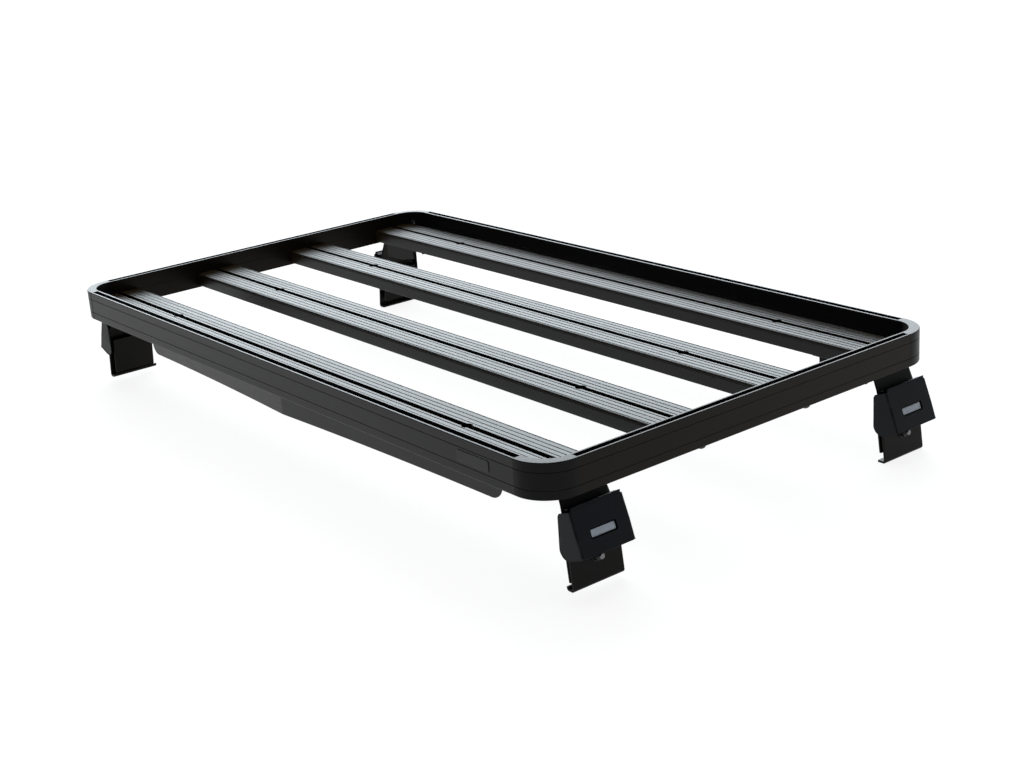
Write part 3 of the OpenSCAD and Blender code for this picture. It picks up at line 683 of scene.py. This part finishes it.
def legShells(sy):
    # The bent sheet runs from the base under the slat down the upper leg, past the kink, and in under the
    # hook. A point's half width is half of baseWide above the step and half of wide below it. A flange
    # hangs from the base's side that is nearer the rack's middle.
    under = slatUnder - (foot["frontRaise"] if sy < 0 else 0)
    kinkX = foot["hookX"] - foot["kink"] * math.tan(math.radians(foot["leanLow"]))
    topX = kinkX - (under - foot["kink"]) * math.tan(math.radians(foot["leanUp"]))
    toe, t = foot["hookX"] - foot["hookDeep"], foot["thick"]
    path = [[foot["baseIn"], under], [topX, under], [kinkX, foot["kink"]], [foot["hookX"], 0], [toe, 0]]
    if sy < 0:
        path.append([toe, foot["lip"]])
    loop = outward(sheetLoop(path, t, foot["bend"], steps=6))
    loop = crossed(loop, foot["step"], foot["stepHalf"])
    drawn = 1   # half the width as drawn, before the points move out
    rows, along = softEnds(loop, -drawn, drawn, foot["edge"])
    half = np.where(loop[:, 1] > foot["step"], foot["baseWide"], foot["wide"]) / 2
    y = along[:, None] + np.sign(along)[:, None] * (half - drawn)
    sheet = shell(np.stack([rows[..., 0], y, rows[..., 1]], -1))
    less = foot["rearLess"] if sy > 0 else 0
    start, end, top = foot["baseIn"] + less, topX - foot["flangeBack"], under - foot["into"]
    low, high = under - foot["flangeLow"] + less, under - foot["flangeHigh"] + less
    belly = [(foot["baseIn"] + end) / 2, high]
    flange = roundLoop([[start, top], [start, low], belly, [end, high], [end, top]], foot["flangeRadii"], 5)
    side = -sy * foot["baseWide"] / 2
    return [sheet, shell(extrude(flange, *sorted([side, side + sy * t]), foot["flangeEdge"]))]


clamp = {"thick": 3, "wide": 76, "high": 64.5, "round": 18, "lowRound": 1.5, "topRound": 1, "clear": 9.5,
         "rearRaise": 4.5, "edge": 0.5, "armEdge": 0.6, "armIn": 0.5, "armLess": 0.4}


def clampShells(sy):
    # The plate's outline lies across the lower leg; a short flange at its top reaches back to the leg.
    # Towards the rack's middle, at -sy, the plate's upper corner is round and the flange stops short of it.
    low = clamp["clear"] + (clamp["rearRaise"] if sy > 0 else 0)
    half, high = clamp["wide"] / 2, low + clamp["high"]
    front = -foot["thick"] - foot["gap"]
    back = front - clamp["thick"]
    outline = boxLoop(sy * half, -sy * half, low, high,
                      [clamp["lowRound"], clamp["lowRound"], clamp["round"], clamp["topRound"]], 8)
    plate = extrude(outline, back, front, clamp["edge"], "yzx")
    arm = boxLoop(back + clamp["armIn"], front + foot["gap"], high, high - clamp["thick"],
                  clamp["armEdge"], 3)
    ends = sorted([sy * (half - clamp["armLess"]), -sy * (half - clamp["round"])])
    return moved([shell(plate), shell(extrude(arm, *ends, clamp["edge"]))], legPlane)


def studShells():
    # A threaded stud through plate and leg with its washer and nut outside, drawn upright and then laid
    # along the lower leg's X.
    inside = foot["thick"] + foot["gap"]
    parts = [shell(threaded(-inside, foot["studOut"])), shell(hexNut(bolt["washer"], bolt["nut"])),
             washerShell(0, bolt["washer"], *foot["studWasher"])]
    return moved(parts, lambda p: legPlane(np.stack([p[:, 2], p[:, 1], foot["studAt"] - p[:, 0]], -1)))


cover = {"top": 114.8, "x": 652.3, "lean": 20.6, "high": 66, "half": 44.8, "thick": 2, "bend": 2.6, "cut": 4,
         "cheekX": 631, "cheekHigh": 4, "cheekLow": 14, "flange": 12, "edge": 0.45, "edgeShare": 0.45,
         "crisp": 0.01, "nearBend": 3, "windowDown": 39, "windowWide": 44, "windowHigh": 13.5,
         "windowRound": 2.5, "plateWide": 50, "plateHigh": 19.5, "plateThick": 1.5, "plateRound": 2,
         "plateEdge": 0.2, "shadeRimWide": 2.2, "shadeRimOver": 0.3, "shadeRimBack": 0.1, "shadeRimFront": 0.7,
         "flatColumns": 8, "bendColumns": 9, "cheekColumns": 16, "windowColumns": 7, "edgePoints": 4,
         "cheekSteps": 10, "leastHigh": 0.001}


def coverPlane(p):
    # From the cover's frame (X out of its face, Z up along it from its top edge) to the foot's.
    return leaned(p, cover["lean"], cover["x"], cover["top"])


def coverShells(spec):
    # The sheet is drawn flat, s across it and b up it, and then bent. Over the bends, with angle
    # f = (|s| - flat) / bend, a point at depth d lies at (bend - d) * (sin f, cos f) from the bend's centre.
    lean, bend, thick = math.radians(spec["lean"]), spec["bend"], spec["thick"]
    flat = spec["half"] - bend
    over = flat + bend * np.pi / 2
    cut, base, crisp = -spec["cut"], -spec["high"], spec["crisp"]

    def cheekEnd(b):
        # A cheek ends on the upright plane cheekX: its length grows down the leaning sheet.
        return (spec["x"] - spec["cheekX"] - b * math.sin(lean)) / math.cos(lean) - bend + over

    cheek = roundLoop([[over, cut], [cheekEnd(cut), cut], [cheekEnd(base), base], [over, base]],
                      [crisp, spec["cheekHigh"], spec["cheekLow"], crisp], spec["cheekSteps"])
    far = cheek[:, 0].argmax()
    upper, lower, end = cheek[:far + 1], cheek[far:][::-1], cheek[far, 0]
    # Columns from the middle to one end, closer together at the bend and at round corners
    w, r, near = spec["windowWide"] / 2, spec["windowRound"], spec["nearBend"]
    u = np.sin(np.linspace(0, np.pi / 2, spec["cheekColumns"]))
    s = np.unique(np.concatenate([
        np.linspace(0, flat - near, spec["flatColumns"]), flat - near + near * u[::3],
        flat + (over - flat) * np.linspace(0, 1, spec["bendColumns"]), over + (end - over) * u,
        w - r * (1 - np.sin(np.linspace(0, np.pi / 2, spec["windowColumns"])))]).round(5))
    s[-1] = end
    s = np.concatenate([-s[:0:-1], s])
    m = np.abs(s)
    corner = spec["half"] - spec["cut"]
    top = np.interp(m, [corner - crisp, flat, over], [-bend, cut, cut])
    top = np.where(m > over, np.interp(m, upper[:, 0], upper[:, 1]), top)
    low = np.interp(m, [corner, flat, over], [base, base - cut / 2, base])
    low = np.where(m > over, np.interp(m, lower[:, 0], lower[:, 1]), low)
    hole = spec["windowHigh"] / 2 - r + np.sqrt(np.maximum(r ** 2 - np.maximum(m - w + r, 0) ** 2, 0))
    hole = np.where(m < w, hole, 0)
    middle = np.clip(-spec["windowDown"], low, top)

    def band(high, low, soft):
        # One band of the sheet, a rounded strip in its thickness; soft tells which edges are rounded. An
        # edge's radius is the cover's own, or a share of the strip's height where that is less.
        e = np.minimum(spec["edge"], np.maximum(high - low, spec["leastHigh"]) * spec["edgeShare"])[:, None]
        q = np.linspace(0, np.pi / 2, spec["edgePoints"])
        c, t = 1 - np.cos(q), 1 - np.sin(q)
        # Depth and height offsets from the outer top corner, round the strip
        depth = np.concatenate([e * t * soft[0], thick - e * t[::-1] * soft[0],
                                thick - e * t * soft[1], e * t[::-1] * soft[1]], 1)
        up = np.concatenate([high[:, None] - e * c * soft[0], high[:, None] - e * c[::-1] * soft[0],
                             low[:, None] + e * c * soft[1], low[:, None] + e * c[::-1] * soft[1]], 1)
        side, sign = m[:, None], np.sign(s)[:, None]
        f = np.clip((side - flat) / bend, 0, np.pi / 2)
        y = np.where(side <= flat, side, flat + (bend - depth) * np.sin(f))
        x = np.where(side <= flat, -depth, -bend + (bend - depth) * np.cos(f))
        x = np.where(side > over, -bend - (side - over), x)
        return shell(np.stack([x, y * sign, up], -1))

    flangeLoop = sheetLoop([[0, -bend], [0, 0], [-spec["flange"], 0]], -thick, bend - thick, 2 * crisp)
    flange = shell(extrude(flangeLoop, -corner, corner, crisp))
    above, below = band(top, middle + hole, (1, 0)), band(middle - hole, np.minimum(low, top), (0, 1))
    return moved([above, below, flange], coverPlane)


def plateShell(spec):
    # The bare plate behind the window, against the cover's inner face.
    w, h, z = spec["plateWide"] / 2, spec["plateHigh"] / 2, -spec["windowDown"]
    loop = boxLoop(-w, w, z - h, z + h, spec["plateRound"])
    plate = extrude(loop, -spec["thick"] - spec["plateThick"], -spec["thick"], spec["plateEdge"], "yzx")
    return moved([shell(plate)], coverPlane)


def shadeRimShell(spec):
    # A narrow dark frame inside the window, lying on the plate: painted shade for the gap between the plate
    # and the window's edge, made of four loops joined to a ring.
    w, h = spec["windowWide"] / 2 + spec["shadeRimOver"], spec["windowHigh"] / 2 + spec["shadeRimOver"]
    z = -spec["windowDown"]
    outer = boxLoop(-w, w, z - h, z + h, spec["windowRound"], 6)
    w, h = w - spec["shadeRimWide"], h - spec["shadeRimWide"]
    inner = boxLoop(-w, w, z - h, z + h, spec["windowRound"] / 2, 6)
    back, front = -spec["thick"] - spec["shadeRimBack"], -spec["thick"] + spec["shadeRimFront"]
    rows = [(outer, back), (outer, front), (inner, front), (inner, back)]
    grid = np.stack([np.insert(loop, 0, x, axis=1) for loop, x in rows])
    return moved([shell(grid, ring=True)], coverPlane)


print("feet")
legBolts, badges, shadeRims = [], [], []
for sx, sy, name, node in corners:
    stand, mirrored = footPlace(sx, sy), sx < 0
    for part, shells, material, slot in (("Leg", legShells(sy), legCoat, "leg_coat"),
                                         ("Clamp", clampShells(sy), legCoat, "clamp_coat"),
                                         ("Stud", studShells(), studSteel, "stud_steel"),
                                         ("Cover", coverShells(cover), coverCoat, "cover_coat")):
        makePiece(name + part, moved(shells, stand, mirrored), material, [f"{node}_{part.lower()}"])
    badges += moved(plateShell(cover), stand, mirrored)
    shadeRims += moved(shadeRimShell(cover), stand, mirrored)
    row = slatRows[0 if sy < 0 else -1]
    for x in foot["boltsAt"]:
        legBolts += moved(slotBolt(foot["thick"], foot["boltTail"]),
                          lambda p: placed(p, x, row, slatUnder, 0, sx), mirrored)
makePiece("footPlates", badges, plateCoat, ["foot_badges"])
# The frames of painted shade round the plates in the windows
makePiece("windowShadeRims", shadeRims, shadeRimCoat)
makePiece("legBolts", legBolts, darkBolt, ["leg_bolts"])


# Small screws and the bare plate

small = {"button": 13, "buttonHigh": 5, "buttonSocket": 5, "screw": 9, "screwHigh": 2.4, "screwSocket": 4,
         "screwDown": 21, "skirt": 0.4, "skirtIn": 0.96, "domeFrom": 0.12, "domeRows": 9,
         "mouth": 0.62, "mouthEnd": 0.58, "mouthEdge": 0.3, "floor": 0.35,
         "plate": (479.6, 545.6, 153, 169), "plateThick": 0.9, "plateInto": 0.05, "plateRound": 2.5,
         "plateEdge": 0.45}


def domeHead(size, high, socket, spec=small):
    # A rounded head over z = 0: an ellipse's quarter from rim to top, then a hexagonal socket. Its floor
    # lies at a share of the height where the dome meets it.
    a = np.linspace(spec["domeFrom"], np.pi / 2, spec["domeRows"])
    r, mouth, flat = size / 2, socket * spec["mouth"], socket / 2
    rise = np.stack([r * np.cos(a), high * np.sin(a), a * 0 + free], -1)
    rise = rise[rise[:, 0] > mouth]
    top = high * math.sin(math.acos(mouth / r))
    rows = np.concatenate([[[r * spec["skirtIn"], -spec["skirt"], free], [r, 0, free]], rise,
                           [[socket * spec["mouthEnd"], top, free], [flat, top - spec["mouthEdge"], free],
                            [flat, top * spec["floor"], free]]])
    grid = turned(rows)
    grid[-2:] = turned(rows[-2:], 6)
    return shell(grid)


print("small screws and the bare plate")
railBolts, cornerScrews = [], []
button = domeHead(small["button"], small["buttonHigh"] - small["skirt"], small["buttonSocket"])
screw = domeHead(small["screw"], small["screwHigh"], small["screwSocket"])
railUnder = rack["top"] - rail["height"] - small["skirt"]
wall = rack["cornerRadius"] - rail["thick"]
rim = math.sqrt(wall ** 2 - small["screw"] ** 2 / 4)   # how far out the screw's rim meets the round wall
c = math.sqrt(0.5)
for sx in (-1, 1):
    x = sx * (halfWidth - rail["thick"] / 2)
    for y in slatRows[1:-1]:
        railBolts += moved([button], lambda p: np.stack([x + p[:, 0], y - p[:, 1], railUnder - p[:, 2]], -1))
    for sy in (-1, 1):
        inward = lambda p: np.stack([sx * (cornerX + c * (rim - p[:, 2] + p[:, 0])),
                                     sy * (cornerY + c * (rim - p[:, 2] - p[:, 0])),
                                     rack["top"] - small["screwDown"] + p[:, 1]], -1)
        cornerScrews += moved([screw], inward, sx * sy > 0)
makePiece("railBolts", railBolts, darkBolt, ["rail_bolts"])
makePiece("cornerScrews", cornerScrews, screwSteel, ["corner_screws"])

plate = extrude(boxLoop(*small["plate"], small["plateRound"]), -halfLength - small["plateThick"],
                -halfLength + small["plateInto"], small["plateEdge"])
makePiece("frontPlate", [shell(plate)], railPlateCoat)


# Camera, floor and light

def aimed(location, direction, roll=0):
    # A matrix whose -Z looks along the direction, with its Y up, turned about its own axis by the roll.
    back = -np.asarray(direction, float)
    back /= np.linalg.norm(back)
    right = np.cross([0, 0, 1], back)
    right /= np.linalg.norm(right)
    up = np.cross(back, right)
    c, s = math.cos(roll), math.sin(roll)
    axes = np.stack([right * c + up * s, up * c - right * s, back], 1)
    return Matrix.Translation(location) @ Matrix(axes.tolist()).to_4x4()


print("camera")
view = {"azimuth": 52.5222, "elevation": 18.8475, "roll": -4.1227, "lens": 57.754, "sensor": 36,
        "target": (0.3761, -0.1978, 0.186), "distance": 2.27599}
a, e = math.radians(view["azimuth"]), math.radians(view["elevation"])
toCamera = np.array([math.sin(a) * math.cos(e), -math.cos(a) * math.cos(e), math.sin(e)])
camera = bpy.data.objects.new("camera", bpy.data.cameras.new("camera"))
camera.data.sensor_width = view["sensor"]
camera.data.lens = view["lens"]
camera.matrix_world = aimed(np.array(view["target"]) + toCamera * view["distance"], -toCamera,
                            math.radians(view["roll"]))
bpy.context.scene.collection.objects.link(camera)
bpy.context.scene.camera = camera
bpy.context.scene.view_settings.view_transform = "Standard"

print("floor and light")
# A patch of sky has its way, then a cosine with the brightness there: where it is full and where it ends
light = {"patch": ((-0.78, 0.58, 0.30), (0.93, 6.2), (0.74, 0.10)),
         "rear": ((0.35, 0.93, 0.20), (0.95, 0.7), (0.66, 0)), "sky": 1.15, "skyColor": (0.885, 0.955, 1),
         "lamp": 60, "lampSize": 2.6, "lampAt": (-0.4, 0.3, 2.6), "lampWay": (0.1, -0.08, -1),
         "floorHalf": 15, "floorTone": 0.8, "floorShade": 0.16, "glowNear": 0.88, "near": 0.9, "far": 2.2}

f = light["floorHalf"]
floorMesh = bpy.data.meshes.new("floor")
floorMesh.from_pydata([(-f, -f, 0), (f, -f, 0), (f, f, 0), (-f, f, 0)], [], [(0, 1, 2, 3)])
floor = bpy.data.objects.new("floor", floorMesh)
bpy.context.scene.collection.objects.link(floor)
floorMaterial = bpy.data.materials.new("paleFloor")
floorMaterial.use_nodes = True
tree = floorMaterial.node_tree
tree.nodes.clear()
# Seen directly or in a reflection the floor is white less its shadow; other light meets plain paint
paint = addNode(tree, "BsdfDiffuse", {"Color": toned((light["floorTone"],) * 3)})
shade = addNode(tree, "BsdfDiffuse", {"Color": toned((light["floorShade"],) * 3)})
# Near the rack the glow leaves room for a soft shadow; farther off it is white by itself
distance = tree.nodes.new("ShaderNodeVectorMath")
distance.operation = "LENGTH"
feed(tree, distance, {0: tree.nodes.new("ShaderNodeTexCoord").outputs["Object"]})
strength = carried(tree, distance.outputs["Value"], (light["near"], light["far"]),
                   (light["glowNear"], 1), True)
glow = addNode(tree, "Emission", {"Strength": strength})
white = addNode(tree, "AddShader", {0: shade.outputs[0], 1: glow.outputs[0]})
path = tree.nodes.new("ShaderNodeLightPath").outputs
seen = maths(tree, "MAXIMUM", path["Is Camera Ray"], path["Is Glossy Ray"])
seen = maths(tree, "MAXIMUM", seen, path["Is Transmission Ray"])
chosen = addNode(tree, "MixShader", {0: seen, 1: paint.outputs[0], 2: white.outputs[0]})
addNode(tree, "OutputMaterial", {"Surface": chosen.outputs[0]})
floorMesh.materials.append(floorMaterial)

world = bpy.data.worlds.new("studio")
bpy.context.scene.world = world
world.use_nodes = True
tree = world.node_tree
direction = tree.nodes.new("ShaderNodeTexCoord").outputs["Generated"]


def skyPatch(way, full, end):
    # Brightness against direction, in a smooth step over the cosine of its angle to the way.
    toward = tree.nodes.new("ShaderNodeVectorMath")
    toward.operation = "DOT_PRODUCT"
    feed(tree, toward, {0: direction, 1: tuple(np.array(way) / np.linalg.norm(way))})
    return carried(tree, toward.outputs["Value"], (end[0], full[0]), (end[1], full[1]), True)


brightness = maths(tree, "ADD", skyPatch(*light["patch"]), skyPatch(*light["rear"]))
# The camera sees the sky white, like the floor's far part
cameraRay = tree.nodes.new("ShaderNodeLightPath").outputs["Is Camera Ray"]
shown = addNode(tree, "Mix", {"Factor": cameraRay, "A": brightness, "B": light["sky"]})
feed(tree, tree.nodes["Background"], {"Strength": shown.outputs["Result"], "Color": toned(light["skyColor"])})

lampData = bpy.data.lights.new("overhead", "AREA")
lampData.shape = "RECTANGLE"
lampData.size = lampData.size_y = light["lampSize"]
lampData.energy = light["lamp"]
lamp = bpy.data.objects.new("overhead", lampData)
lamp.matrix_world = aimed(light["lampAt"], light["lampWay"])
lamp.visible_glossy = False
bpy.context.scene.collection.objects.link(lamp)
